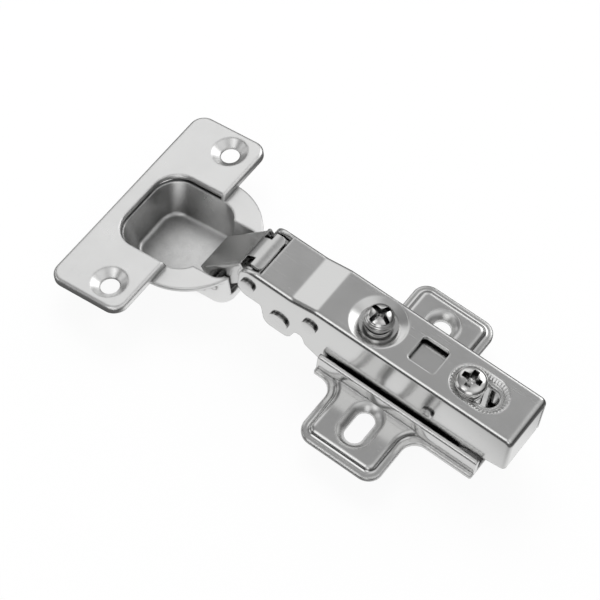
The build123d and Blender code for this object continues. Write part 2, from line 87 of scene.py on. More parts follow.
@dataclass(frozen=True)
class Wiring:
    """Adds nodes to a node tree and joins their sockets."""

    tree: bpy.types.NodeTree

    def feed(self, socket: bpy.types.NodeSocket, source: Source) -> None:
        """Join a source to a socket, or set the socket where the source is a plain value.

        Args:
            socket: The socket that is fed.
            source: Another node's socket, or a value.
        """
        if isinstance(source, bpy.types.NodeSocket):
            self.tree.links.new(source, socket)
        else:
            socket.default_value = source

    def add(self, kind: str, sockets: dict[str | int, Source],
            **settings: str | int | bpy.types.NodeTree) -> bpy.types.Node:
        """Add a node, set its settings and then feed its sockets.

        Args:
            kind: The node's type.
            sockets: Sources of its inputs, by name or place.
            **settings: Its other settings.

        Returns:
            The node.
        """
        node = self.tree.nodes.new(kind)
        for label, value in settings.items():
            setattr(node, label, value)
        for label, source in sockets.items():
            self.feed(node.inputs[label], source)
        return node

    def place(self, group: bpy.types.NodeTree, sockets: dict[str, Source]) -> bpy.types.NodeSocket:
        """Place a shared group, feed its inputs and give its output."""
        return self.add("ShaderNodeGroup", sockets, node_tree=group).outputs[0]

    def math(self, operation: str, *sources: Source) -> bpy.types.NodeSocket:
        """Add a maths node on the sources, in order, and give its result."""
        return self.add("ShaderNodeMath", dict(enumerate(sources)), operation=operation).outputs[0]

    def mix(self, factor: Source, low: Source, high: Source, kind: str = "RGBA") -> bpy.types.NodeSocket:
        """Mix from low at factor 0 to high at factor 1 and give the result."""
        sockets = {"Factor": factor, "A": low, "B": high}
        return self.add("ShaderNodeMix", sockets, data_type=kind).outputs["Result"]

    def noise(self, vector: Source, scale: Source, detail: float, rough: float = 0.5) -> bpy.types.NodeSocket:
        """Add a noise texture and give its value."""
        sockets = {"Vector": vector, "Scale": scale, "Detail": detail, "Roughness": rough}
        return self.add("ShaderNodeTexNoise", sockets).outputs["Fac"]

    def span(self, value: Source, source: tuple[Source, Source], result: tuple[float, float] = (0.0, 1.0),
             kind: str = "LINEAR") -> bpy.types.NodeSocket:
        """Map a value from one span to another.

        Args:
            value: What is mapped.
            source: Span that the value runs over.
            result: Span that it is mapped to.
            kind: Interpolation of the map.

        Returns:
            Socket with the mapped value.
        """
        sockets = {"Value": value, "From Min": source[0], "From Max": source[1],
                   "To Min": result[0], "To Max": result[1]}
        return self.add("ShaderNodeMapRange", sockets, interpolation_type=kind).outputs["Result"]


class Groups:
    """Shader node groups that several finishes share, each built once."""

    BROAD_DETAIL, FINE_DETAIL = 2.0, 4.0
    FINE_TIMES, FINE_SHARE = 9.0, 0.4
    LINE_DETAIL, LINE_ROUGHNESS = 5.0, 0.65
    HAIR_PATCH_SCALE, HAIR_PATCH_DETAIL, HAIR_PATCH_LEAST = 210.0, 2.0, 0.56
    DULL_DETAIL, DULL_UNEVEN = 2.0, 0.10
    WEAR_DETAIL, WEAR_LEAST = 3.0, 0.5
    WEAR_LEAN, WEAR_PATCH = (0.995, 0.88), (0.35, 0.65)

    @staticmethod
    def _new(name: str, vectors: tuple[str, ...], inputs: dict[str, float],
             output: str) -> tuple[Wiring, bpy.types.NodeOutputs, bpy.types.NodeSocket]:
        """Make an empty group with named vector and float inputs and one float output.

        Args:
            name: The group's name.
            vectors: Names of the vector inputs.
            inputs: Float inputs with their defaults.
            output: Name of the output.

        Returns:
            The group's wiring, the sockets that give its inputs and the socket that takes its output.
        """
        tree = bpy.data.node_groups.new(name, "ShaderNodeTree")
        for label in vectors:
            tree.interface.new_socket(label, in_out="INPUT", socket_type="NodeSocketVector")
        for label, value in inputs.items():
            socket = tree.interface.new_socket(label, in_out="INPUT", socket_type="NodeSocketFloat")
            socket.default_value = value
        tree.interface.new_socket(output, in_out="OUTPUT", socket_type="NodeSocketFloat")
        given = tree.nodes.new("NodeGroupInput").outputs
        result = tree.nodes.new("NodeGroupOutput").inputs[output]
        return Wiring(tree), given, result

    @classmethod
    @cache
    def plating_cloud(cls) -> bpy.types.NodeTree:
        """Soft uneven sheen of the plating: two sizes of noise, averaged."""
        wiring, given, result = cls._new("plating_cloud", ("Vector",), {"Scale": 120.0}, "Cloud")
        broad = wiring.noise(given["Vector"], given["Scale"], cls.BROAD_DETAIL)
        finer = wiring.math("MULTIPLY", given["Scale"], cls.FINE_TIMES)
        fine = wiring.noise(given["Vector"], finer, cls.FINE_DETAIL)
        wiring.feed(result, wiring.mix(cls.FINE_SHARE, broad, fine, "FLOAT"))
        return wiring.tree

    @classmethod
    @cache
    def rolled_lines(cls) -> bpy.types.NodeTree:
        """Fine lines of rolled sheet under the plate: noise drawn out along one axis by its vector."""
        wiring, given, result = cls._new("rolled_lines", ("Vector",), {"Scale": 60.0}, "Height")
        lines = wiring.noise(given["Vector"], given["Scale"], cls.LINE_DETAIL, cls.LINE_ROUGHNESS)
        wiring.feed(result, lines)
        return wiring.tree

    @classmethod
    @cache
    def hairlines(cls) -> bpy.types.NodeTree:
        """Sparse hairline scratches: the narrow borders of stretched cells, kept only in patches of noise."""
        wiring, given, result = cls._new("hairlines", ("Vector",), {"Scale": 90.0, "Width": 0.012}, "Mask")
        cells = wiring.add("ShaderNodeTexVoronoi", {"Vector": given["Vector"], "Scale": given["Scale"]},
                           feature="DISTANCE_TO_EDGE")
        patches = wiring.noise(given["Vector"], cls.HAIR_PATCH_SCALE, cls.HAIR_PATCH_DETAIL)
        near = wiring.math("LESS_THAN", cells.outputs["Distance"], given["Width"])
        kept = wiring.math("GREATER_THAN", patches, cls.HAIR_PATCH_LEAST)
        wiring.feed(result, wiring.math("MULTIPLY", near, kept))
        return wiring.tree

    @classmethod
    @cache
    def recess_dull(cls) -> bpy.types.NodeTree:
        """Painted shade in recesses: darker where a spot is closed in, with a soft uneven border from noise.
        """
        inputs = {"Open": 1.0, "Start": 1.0, "Full": 0.45, "Scale": 500.0}
        wiring, given, result = cls._new("recess_dull", ("Vector",), inputs, "Dull")
        patches = wiring.noise(given["Vector"], given["Scale"], cls.DULL_DETAIL)
        shift = wiring.math("MULTIPLY_ADD", patches, cls.DULL_UNEVEN, given["Open"])
        wiring.feed(result, wiring.span(shift, (given["Start"], given["Full"]), kind="SMOOTHSTEP"))
        return wiring.tree

    @classmethod
    @cache
    def edge_wear(cls) -> bpy.types.NodeTree:
        """Lighter colour along edges: how far a softened normal leans from the true one, broken up by noise.
        """
        vectors = ("Vector", "Soft Normal", "True Normal")
        wiring, given, result = cls._new("edge_wear", vectors, {"Scale": 900.0}, "Edge")
        lean = wiring.add("ShaderNodeVectorMath", {0: given["Soft Normal"], 1: given["True Normal"]},
                          operation="DOT_PRODUCT")
        edge = wiring.span(lean.outputs["Value"], cls.WEAR_LEAN)
        patches = wiring.noise(given["Vector"], given["Scale"], cls.WEAR_DETAIL)
        broken = wiring.span(patches, cls.WEAR_PATCH, (cls.WEAR_LEAST, 1.0))
        wiring.feed(result, wiring.math("MULTIPLY", edge, broken))
        return wiring.tree


@dataclass(frozen=True)
class PlatedFinish:
    """Nickel plate on steel, with its own sheen, grain and edge radius."""

    CLOUD_SCALE, LINES_SCALE, WEAR_SCALE, RECESS_SCALE = 140.0, 55.0, 900.0, 500.0
    HAIR_SCALE, HAIR_WIDTH = 7.0, 0.006
    CLOUD_SPAN = (0.3, 0.7)
    POLISHED = (0.80, 0.80, 0.795, 1.0)
    EDGE_SAMPLES, RECESS_SAMPLES = 6, 8

    name: str
    colour: tuple[float, float, float]
    shade: tuple[float, float, float]
    sheen: float
    sheen_spread: float = 0.03
    grain: Grain = Grain.ALONG_ARM
    grain_depth: float = 1.0 * MICRON
    scratches: float = 0.10
    edge_radius: float = 0.10 * MM
    # The recess values paint shade: the colour darkens to the recess tone where occlusion within the reach
    # finds the surface closed in.
    recess_reach: float = 0.6 * MM
    recess_tone: float = 0.25
    recess_start: float = 1.0
    recess_full: float = 0.45
    recess_own: bool = True

    @cache
    def material(self) -> bpy.types.Material:
        """Build the finish's material, once.

        Returns:
            A metallic material whose colour, sheen and bump vary over the surface; its colour is lighter along
            edges and darkened by painted shade in recesses.
        """
        made = bpy.data.materials.new(self.name)
        made.use_nodes = True
        shader = made.node_tree.nodes["Principled BSDF"]
        shader.inputs["Metallic"].default_value = 1.0
        wiring = Wiring(made.node_tree)
        place = wiring.add("ShaderNodeTexCoord", {}).outputs["Object"]
        stretch = {"Vector": place, "Scale": self.grain.value}
        drawn = wiring.add("ShaderNodeMapping", stretch).outputs["Vector"]
        cloud = wiring.place(Groups.plating_cloud(), {"Vector": place, "Scale": self.CLOUD_SCALE})
        lines = wiring.place(Groups.rolled_lines(), {"Vector": drawn, "Scale": self.LINES_SCALE})
        hairs = wiring.place(Groups.hairlines(),
                             {"Vector": drawn, "Scale": self.HAIR_SCALE, "Width": self.HAIR_WIDTH})

        # Lighter colour along edges, where the softened normal leans from the true one.
        edge = wiring.add("ShaderNodeBevel", {"Radius": self.edge_radius}, samples=self.EDGE_SAMPLES)
        soft = edge.outputs["Normal"]
        true = wiring.add("ShaderNodeNewGeometry", {}).outputs["Normal"]
        wear = wiring.place(Groups.edge_wear(), {"Vector": place, "Soft Normal": soft, "True Normal": true,
                                                 "Scale": self.WEAR_SCALE})
        # Painted shade: ambient occlusion darkens the base colour in recesses and channels.
        hollow = wiring.add("ShaderNodeAmbientOcclusion", {"Distance": self.recess_reach},
                            samples=self.RECESS_SAMPLES, only_local=self.recess_own)
        dull = wiring.place(Groups.recess_dull(), {"Vector": place, "Open": hollow.outputs["AO"],
                                                   "Start": self.recess_start, "Full": self.recess_full,
                                                   "Scale": self.RECESS_SCALE})
        tone = wiring.mix(cloud, (*self.shade, 1.0), (*self.colour, 1.0))
        worn = wiring.mix(wear, tone, self.POLISHED)
        sunk = wiring.mix(dull, worn, (self.recess_tone, self.recess_tone, self.recess_tone, 1.0))
        wiring.feed(shader.inputs["Base Color"], sunk)

        least, most = self.sheen - self.sheen_spread, self.sheen + self.sheen_spread
        spread = wiring.span(cloud, self.CLOUD_SPAN, (least, most))
        wiring.feed(shader.inputs["Roughness"], wiring.math("MULTIPLY_ADD", hairs, self.scratches, spread))

        bump = wiring.add("ShaderNodeBump", {"Strength": 1.0, "Distance": self.grain_depth, "Height": lines,
                                             "Normal": soft})
        wiring.feed(shader.inputs["Normal"], bump.outputs["Normal"])
        return made


# Each finish's recess values set how strongly shade is painted into its closed-in spots.
ARM_SHEET = PlatedFinish(
    "arm_nickel", (0.71, 0.71, 0.705), (0.66, 0.66, 0.655), sheen=0.17,
    edge_radius=0.70 * MM, recess_reach=16.0 * MM, recess_tone=0.05, recess_start=0.72, recess_full=0.36)
PLATE_SHEET = PlatedFinish(
    "plate_nickel", (0.71, 0.71, 0.705), (0.65, 0.65, 0.645), sheen=0.15,
    edge_radius=0.90 * MM, recess_reach=12.0 * MM, recess_tone=0.05, recess_start=0.70, recess_full=0.36)
CUP_SHEET = PlatedFinish(
    "cup_nickel", (0.85, 0.85, 0.845), (0.80, 0.80, 0.795), sheen=0.31, sheen_spread=0.04,
    grain=Grain.ALONG_FLANGE, grain_depth=1.2 * MICRON, scratches=0.08, edge_radius=0.80 * MM,
    recess_reach=15.0 * MM, recess_tone=0.22)
LINK_SHEET = PlatedFinish(
    "link_nickel", (0.68, 0.68, 0.675), (0.58, 0.58, 0.575), sheen=0.22, sheen_spread=0.05,
    grain_depth=6.0 * MICRON, scratches=0.16, edge_radius=0.25 * MM, recess_reach=3.0 * MM, recess_tone=0.12)
TURNED_STEEL = PlatedFinish(
    "turned_nickel", (0.76, 0.757, 0.75), (0.66, 0.657, 0.65), sheen=0.18, sheen_spread=0.05,
    grain=Grain.TURNED, grain_depth=1.5 * MICRON, scratches=0.12, edge_radius=0.08 * MM,
    recess_reach=2.0 * MM, recess_tone=0.02, recess_start=0.84, recess_full=0.50)
PIN_STEEL = PlatedFinish(
    "pin_nickel", (0.70, 0.70, 0.695), (0.64, 0.64, 0.635), sheen=0.22, sheen_spread=0.05,
    grain=Grain.TURNED, grain_depth=1.2 * MICRON, edge_radius=0.12 * MM, recess_reach=2.0 * MM,
    recess_tone=0.05, recess_start=0.95, recess_full=0.55, recess_own=False)
DISH_SHEET = PlatedFinish(
    "dish_nickel", (0.74, 0.74, 0.735), (0.69, 0.69, 0.685), sheen=0.18, scratches=0.08)
FUNNEL_SHEET = PlatedFinish(
    "funnel_nickel", (0.70, 0.70, 0.695), (0.64, 0.64, 0.635), sheen=0.32, sheen_spread=0.04, scratches=0.08)
SLOPE_SHEET = PlatedFinish(
    "slope_nickel", (0.71, 0.71, 0.705), (0.65, 0.65, 0.645), sheen=0.16)
TOOTHED_SHEET = PlatedFinish(
    "toothed_nickel", (0.92, 0.92, 0.915), (0.86, 0.86, 0.855), sheen=0.40, sheen_spread=0.04, scratches=0.08,
    edge_radius=0.06 * MM, recess_reach=0.4 * MM, recess_tone=0.40, recess_start=0.8, recess_full=0.4)
SPRING_STEEL = PlatedFinish(
    "spring_steel", (0.44, 0.43, 0.42), (0.34, 0.33, 0.32), sheen=0.32, sheen_spread=0.06,
    grain_depth=1.5 * MICRON, edge_radius=0.08 * MM, recess_reach=2.0 * MM, recess_tone=0.06)


def dress(node: str, finish: PlatedFinish) -> None:
    """Give a carried-over node its finish.

    Args:
        node: The node's name.
        finish: Its finish.
    """
    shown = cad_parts[node]
    shown.data.materials.clear()
    shown.data.materials.append(finish.material())
    LOG.info("dressed %s in %s", node, finish.name)


def smoothstep(low: float, high: float, value: np.ndarray) -> np.ndarray:
    """Cubic step from 0 at low to 1 at high: 3t^2 - 2t^3 of the clipped share t."""
    share = np.clip((value - low) / (high - low), 0.0, 1.0)
    return share * share * (3.0 - 2.0 * share)


@dataclass(frozen=True)
class Surface:
    """Closed surface: points in metres, faces as places in them and the turn past which an edge is sharp."""

    points: np.ndarray
    faces: tuple[np.ndarray, ...]
    sharp_deg: float

    @classmethod
    def ringed(cls, *axes: np.ndarray, sharp_deg: float = 32.0) -> "Surface":
        """Join rings of points by quads and close the first and last to their centres with fans.

        Args:
            *axes: The points' x, y and z, each of shape (rings, points round) or one that spreads to it.
            sharp_deg: Edges turned by more than this stay sharp.

        Returns:
            The surface.
        """
        rings = np.stack(np.broadcast_arrays(*axes), axis=2)
        count, around = rings.shape[:2]
        points = np.concatenate([rings.reshape(-1, 3), rings[[0, -1]].mean(1)])
        spin = np.arange(around)
        after = (spin + 1) % around
        rows = np.arange(count - 1)[:, None] * around
        here, beside = (rows + spin).ravel(), (rows + after).ravel()
        quads = np.stack([here, here + around, beside + around, beside], axis=1)
        last, pole = (count - 1) * around, np.full(around, count * around)
        top = np.stack([pole, spin, after], axis=1)
        bottom = np.stack([pole + 1, last + after, last + spin], axis=1)
        return cls(points, (quads, top, bottom), sharp_deg)

    @classmethod
    def swept(cls, *axes: np.ndarray, sharp_deg: float = 40.0) -> "Surface":
        """Carry a closed profile along a closed path.

        Neighbours on the grid make quads both ways, and the last row and column join the first.

        Args:
            *axes: The points' x, y and z, each of shape (path, profile) or one that spreads to it.
            sharp_deg: Edges turned by more than this stay sharp.

        Returns:
            The surface.
        """
        grid = np.stack(np.broadcast_arrays(*axes), axis=2)
        along, across = grid.shape[:2]
        i, j = np.meshgrid(np.arange(along), np.arange(across), indexing="ij")
        after_i, after_j = (i + 1) % along * across, (j + 1) % across
        quads = np.stack([i * across + j, after_i + j, after_i + after_j, i * across + after_j], axis=-1)
        return cls(grid.reshape(-1, 3), (quads.reshape(-1, 4),), sharp_deg)

    def volume(self) -> float:
        """Six times the volume inside: the triple products of the faces' fan triangles, summed.

        Returns:
            The sum, negative where the faces point in.
        """
        total = 0.0
        for part in self.faces:
            corners = self.points[part]
            for k in range(1, part.shape[1] - 1):
                total += float((np.cross(corners[:, 0], corners[:, k]) * corners[:, k + 1]).sum())
        return total

    def add(self, name: str, finish: PlatedFinish, body: str) -> bpy.types.Object:
        """Put the surface into the scene with its faces turned out, and let it ride on a body.

        Args:
            name: The piece's name.
            finish: The piece's finish.
            body: The body that it rides on.

        Returns:
            The piece.
        """
        order = -1 if self.volume() < 0.0 else 1
        faces = sum((part[:, ::order].tolist() for part in self.faces), [])
        mesh = bpy.data.meshes.new(name)
        mesh.from_pydata(self.points.tolist(), [], faces)
        mesh.polygons.foreach_set("use_smooth", np.ones(len(mesh.polygons), dtype=bool))
        mesh.set_sharp_from_angle(angle=math.radians(self.sharp_deg))
        mesh.materials.append(finish.material())
        piece = bpy.data.objects.new(name, mesh)
        bpy.context.scene.collection.objects.link(piece)
        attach(piece, body)
        LOG.info("built %s: %d points on %s", name, len(self.points), body)
        return piece


def walk(corners: list[tuple[float, float]], step: float) -> np.ndarray:
    """Points along a run of straight stretches, at about an even step, corners kept.

    Args:
        corners: Radius and height of each corner, in metres.
        step: Largest distance between points, in metres.

    Returns:
        Array of shape (points, 2).
    """
    ends = np.asarray(corners, dtype=float)
    spans = np.hypot(*np.diff(ends, axis=0).T)
    counts = np.maximum(1, np.ceil(spans / step)).astype(int)
    runs = [ends[i] + (np.arange(n) / n)[:, None] * (ends[i + 1] - ends[i]) for i, n in enumerate(counts)]
    return np.concatenate([*runs, ends[-1:]])


def stadium(straight: float, radius: float, count: int) -> tuple[np.ndarray, np.ndarray]:
    """Places at an even step along a stadium: two straight sides and two half circles.

    Args:
        straight: Length of each straight side, in metres.
        radius: Radius at which the step is even, in metres.
        count: Number of places.

    Returns:
        At each place the outward angle from the long axis, and how far along that axis its centre lies from
        the stadium's middle, each of shape (count, 1).
    """
    half_turn = np.pi * radius
    ends = np.cumsum([0.0, half_turn, straight, half_turn, straight])
    way = np.linspace(0.0, ends[-1], count, endpoint=False)
    angle = np.interp(way, ends, np.array([-0.5, 0.5, 0.5, 1.5, 1.5]) * np.pi)
    centre = np.interp(way, ends, np.array([0.5, 0.5, -0.5, -0.5, 0.5]) * straight)
    return angle[:, None], centre[:, None]


@dataclass
class Screw:
    """Machine screw of the hinge: a turned head with a pressed cross recess and a rolled thread."""

    node: str
    body: str
    rings: Ring
    seat: float
    head_radius: float
    flat_radius: float
    shoulder_drop: float
    thread_radius: float
    thread_end: float
    neck_radius: float
    recess_turn_deg: float
    recess_reach: float
    recess_half_width: float = 0.72 * MM
    recess_depth: float = 1.6 * MM
    recess_rise: float = 0.45
    recess_taper: float = 0.25
    recess_wall: float = 0.12 * MM
    recess_end_wall: float = 0.24 * MM
    crown: float = 0.12 * MM
    groove_width: float = 0.10 * MM
    groove_drop: float = 0.22 * MM
    shoulder_start: float = 0.14 * MM
    lined_shares: tuple[float, float] = (0.25, 0.45)
    turned_line: float = 0.10 * MM
    line_pitch: float = 0.55 * MM
    button_height: float = 1.7 * MM
    tip_chamfer: float = 0.4 * MM
    pitch: float = 0.8 * MM
    thread_depth: float = 0.34 * MM
    step: float = 0.08 * MM
    pole_share: float = 0.005
    top_points: int = 34
    shoulder_points: int = 90
    around: int = 300
    margin: float = 1e-7

    def outline(self, low: float, high: float) -> np.ndarray:
        """Half section from the middle of the top over the shoulder and the rings and down to the tip.

        The top is a shallow crown, closed by a fine turned groove. The shoulder is a quarter of an ellipse,
        and its lower part has turned lines, a raised cosine of the height.

        Args:
            low: Height of the tip.
            high: Height of the top.

        Returns:
            Radius and height of each point.
        """
        share = np.linspace(self.pole_share, 1.0, self.top_points)
        top = np.stack([share * self.flat_radius, high - self.crown * share ** 2], axis=1)
        rim = self.flat_radius + self.groove_width
        groove = np.array([(self.flat_radius + self.groove_width / 2, high - self.groove_drop)])
        turn = np.linspace(0.0, np.pi / 2, self.shoulder_points)
        start = high - self.shoulder_start
        fall = self.shoulder_drop * (1.0 - np.cos(turn))
        lined = smoothstep(*self.lined_shares, fall / self.shoulder_drop)
        line_wave = self.turned_line * lined * (0.5 - 0.5 * np.cos(2.0 * np.pi * fall / self.line_pitch))
        shoulder = np.stack([rim + (self.head_radius - rim) * np.sin(turn) - line_wave, start - fall], axis=1)
        height = self.ring_top()
        corners = [(self.head_radius, start - self.shoulder_drop), (self.head_radius, height)]
        for radius, ring_height in self.rings.value:
            corners += [(radius * MM, height), (radius * MM, height - ring_height * MM)]
            height -= ring_height * MM
        corners += [(self.thread_radius, self.seat), (self.thread_radius, self.thread_end)]
        if self.neck_radius < self.thread_radius:
            button = low + self.button_height
            corners += [(self.neck_radius, self.thread_end), (self.neck_radius, button)]
            corners += [(self.thread_radius, button), (self.thread_radius, low + self.tip_chamfer)]
        corners += [(self.thread_radius - self.tip_chamfer, low), (self.step, low)]
        return np.concatenate([top, groove, shoulder, walk(corners, self.step)[1:]])

    def ring_top(self) -> float:
        """Height of the head's lower edge, above its rings."""
        return self.seat + sum(height for _, height in self.rings.value) * MM

    def recess_field(self, x: np.ndarray, y: np.ndarray) -> np.ndarray:
        """Depth of the cross recess at points of the head, measured from its middle.

        Each arm of the cross is a strip with soft walls, deepest in the middle and rising to its end.

        Args:
            x: Points' places across the head.
            y: Points' places across the head.

        Returns:
            Depth at each point.
        """
        turn = math.radians(self.recess_turn_deg)
        a = x * math.cos(turn) + y * math.sin(turn)
        b = y * math.cos(turn) - x * math.sin(turn)
        depth = np.zeros_like(a)
        for along, across in ((a, b), (b, a)):
            reach = np.abs(along)
            narrow = self.recess_half_width * (1.0 - self.recess_taper * reach / self.recess_reach)
            wall = smoothstep(0.0, self.recess_wall, narrow - np.abs(across))
            end = smoothstep(0.0, self.recess_end_wall, self.recess_reach - reach)
            floor = self.recess_depth * (1.0 - self.recess_rise * reach / self.recess_reach)
            depth = np.maximum(depth, wall * end * floor)
        return depth

    def build(self) -> None:
        """Make the screw and let it stand for its node.

        The half section is turned about the screw's own axis. The thread is a groove whose depth is a
        triangle wave of the height less the turn, and the recess lowers the head's top.
        """
        low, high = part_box(self.node)
        middle = ((low.x + high.x) / 2, (low.y + high.y) / 2)
        half = self.outline(low.z, high.z)
        turn = np.linspace(0.0, 2.0 * np.pi, self.around, endpoint=False)
        radius = np.repeat(half[:, :1], self.around, axis=1)
        height = np.repeat(half[:, 1:], self.around, axis=1)
        threaded = np.abs(half[:, 0] - self.thread_radius) < self.margin
        threaded &= (half[:, 1] < self.seat - self.step) & (half[:, 1] > self.thread_end - self.margin)
        phase = (height / self.pitch - turn[None, :] / (2.0 * np.pi)) % 1.0
        groove = self.thread_depth * np.abs(2.0 * phase - 1.0)
        radius = radius - np.where(threaded[:, None], groove, 0.0)
        x = radius * np.cos(turn)
        y = radius * np.sin(turn)
        on_head = half[:, 1] > self.ring_top() + self.step
        height = height - np.where(on_head[:, None], self.recess_field(x, y), 0.0)
        surface = Surface.ringed(x + middle[0], y + middle[1], height)
        piece = surface.add(self.node + "_turned", TURNED_STEEL, self.body)
        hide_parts(self.node)


@dataclass
class CrossPin:
    """Riveted pin across the arm, with a flat spun head at each end."""

    node: str
    spread: float = 1.0
    dimple: float = 0.0
    dimple_shares: tuple[float, float] = (0.48, 0.62)
    proud: float = 0.8 * MM
    crown: float = 0.08 * MM
    rim: float = 0.14 * MM
    shank_play: float = 0.3 * MM
    pole_share: float = 0.02
    face_points: int = 18
    rim_points: int = 6
    around: int = 112

    def build(self) -> None:
        """Make the pin along Y and let it stand for its node.

        The half section runs from one head's middle over its soft rim, in to the shank and out to the other
        head, and is turned about the pin's axis.
        """
        low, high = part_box(self.node)
        shank = (high.x - low.x) / 2 - self.shank_play
        radius = (high.x - low.x) / 2 * self.spread
        half_length = (high.y - low.y) / 2
        share = np.linspace(self.pole_share, 1.0, self.face_points)
        sunk = self.dimple * (1.0 - smoothstep(*self.dimple_shares, share))
        face = half_length - self.crown * share ** 3 - sunk
        head = np.stack([share * (radius - self.rim), face], axis=1)
        turn = np.linspace(0.0, np.pi / 2, self.rim_points)[1:]
        edge = np.stack([radius - self.rim * (1.0 - np.sin(turn)),
                         half_length - self.crown - self.rim * (1.0 - np.cos(turn))], axis=1)
        root = half_length - self.proud
        end = np.concatenate([head, edge, [(radius, root), (shank, root)]])
        half = np.concatenate([end, end[::-1] * np.array([1.0, -1.0])])
        spin = np.linspace(0.0, 2.0 * np.pi, self.around, endpoint=False)
        x = (low.x + high.x) / 2 + half[:, :1] * np.cos(spin)
        z = (low.z + high.z) / 2 - half[:, :1] * np.sin(spin)
        y = (low.y + high.y) / 2 + half[:, 1:]
        piece = Surface.ringed(x, y, z).add(self.node + "_riveted", PIN_STEEL, "arm")
        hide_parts(self.node)


@dataclass
class DoorCup:
    """Drawn cup with its flange and the pins in its neck."""

    def build(self) -> None:
        """Dress the cup and its pins."""
        dress("hinge_cup", CUP_SHEET)
        dress("outer_cup_pin", PIN_STEEL)
        dress("inner_cup_pin", PIN_STEEL)


@dataclass
class Linkage:
    """The two pressed links, the pins that they swing on and the closing spring."""

    plain_pins: tuple[tuple[str, float], ...] = (
        ("outer_link_pin", 1.1), ("inner_link_pin", 1.24), ("spring_pin", 1.2))
    guide_dimple: float = 0.16 * MM
    web_top: tuple[float, float] = (-44.476 * MM, 16.694 * MM)
    web_heading_deg: float = 231.4
    web_half_width: float = 5.4 * MM
    roll_out: float = 0.70 * MM
    roll_radius: float = 1.1 * MM
    roll_depths: tuple[float, float] = (3.0 * MM, 5.8 * MM)
    roll_inset: float = 0.5 * MM
    roll_span: tuple[float, float] = (-0.5 * MM, 16.8 * MM)
    roll_deepest: float = 4.0 * MM
    roll_fade: float = 2.0 * MM
    roll_sections: int = 60
    roll_points: int = 14

    def side_roll(self, name: str, side: float) -> None:
        """Make the rolled edge along one side of the outer link's web.

        A closed profile, a quarter of an ellipse from the web's top over to its side and a straight cheek
        below it, is carried down the web. The cheek deepens and the roll's width fades, each by a smooth step.

        Args:
            name: The piece's name.
            side: 1 for the +Y side, -1 for the -Y side.
        """
        start, end = self.roll_span
        least, most = self.roll_depths
        way = np.linspace(start, end, self.roll_sections)[:, None]
        wide = self.roll_out * (1.0 - smoothstep(end - self.roll_fade, end, way))
        deep = least + (most - least) * smoothstep(start, self.roll_deepest, way)
        turn = np.linspace(0.0, np.pi / 2, self.roll_points)
        level = np.zeros_like(wide)
        inner = level - self.roll_inset
        out = np.concatenate([inner, wide * np.sin(turn), wide, inner], axis=1)
        fall = np.concatenate([level, level + self.roll_radius * (1.0 - np.cos(turn)), deep, deep], axis=1)
        heading = math.radians(self.web_heading_deg)
        x = self.web_top[0] + way * math.cos(heading) - fall * math.sin(heading)
        z = self.web_top[1] + way * math.sin(heading) + fall * math.cos(heading)
        y = side * (self.web_half_width + out)
        piece = Surface.ringed(x, y, z).add(name, LINK_SHEET, "outer_link")

    def build(self) -> None:
        """Dress the links and the spring and make the link's rolled edges and the riveted pins."""
        dress("outer_link", LINK_SHEET)
        self.side_roll("outer_link_near_roll", -1.0)
        self.side_roll("outer_link_far_roll", 1.0)
        dress("inner_link", LINK_SHEET)
        dress("closing_spring", SPRING_STEEL)
        for pin, spread in self.plain_pins:
            CrossPin(pin, spread).build()
        CrossPin("guide_pin", dimple=self.guide_dimple).build()


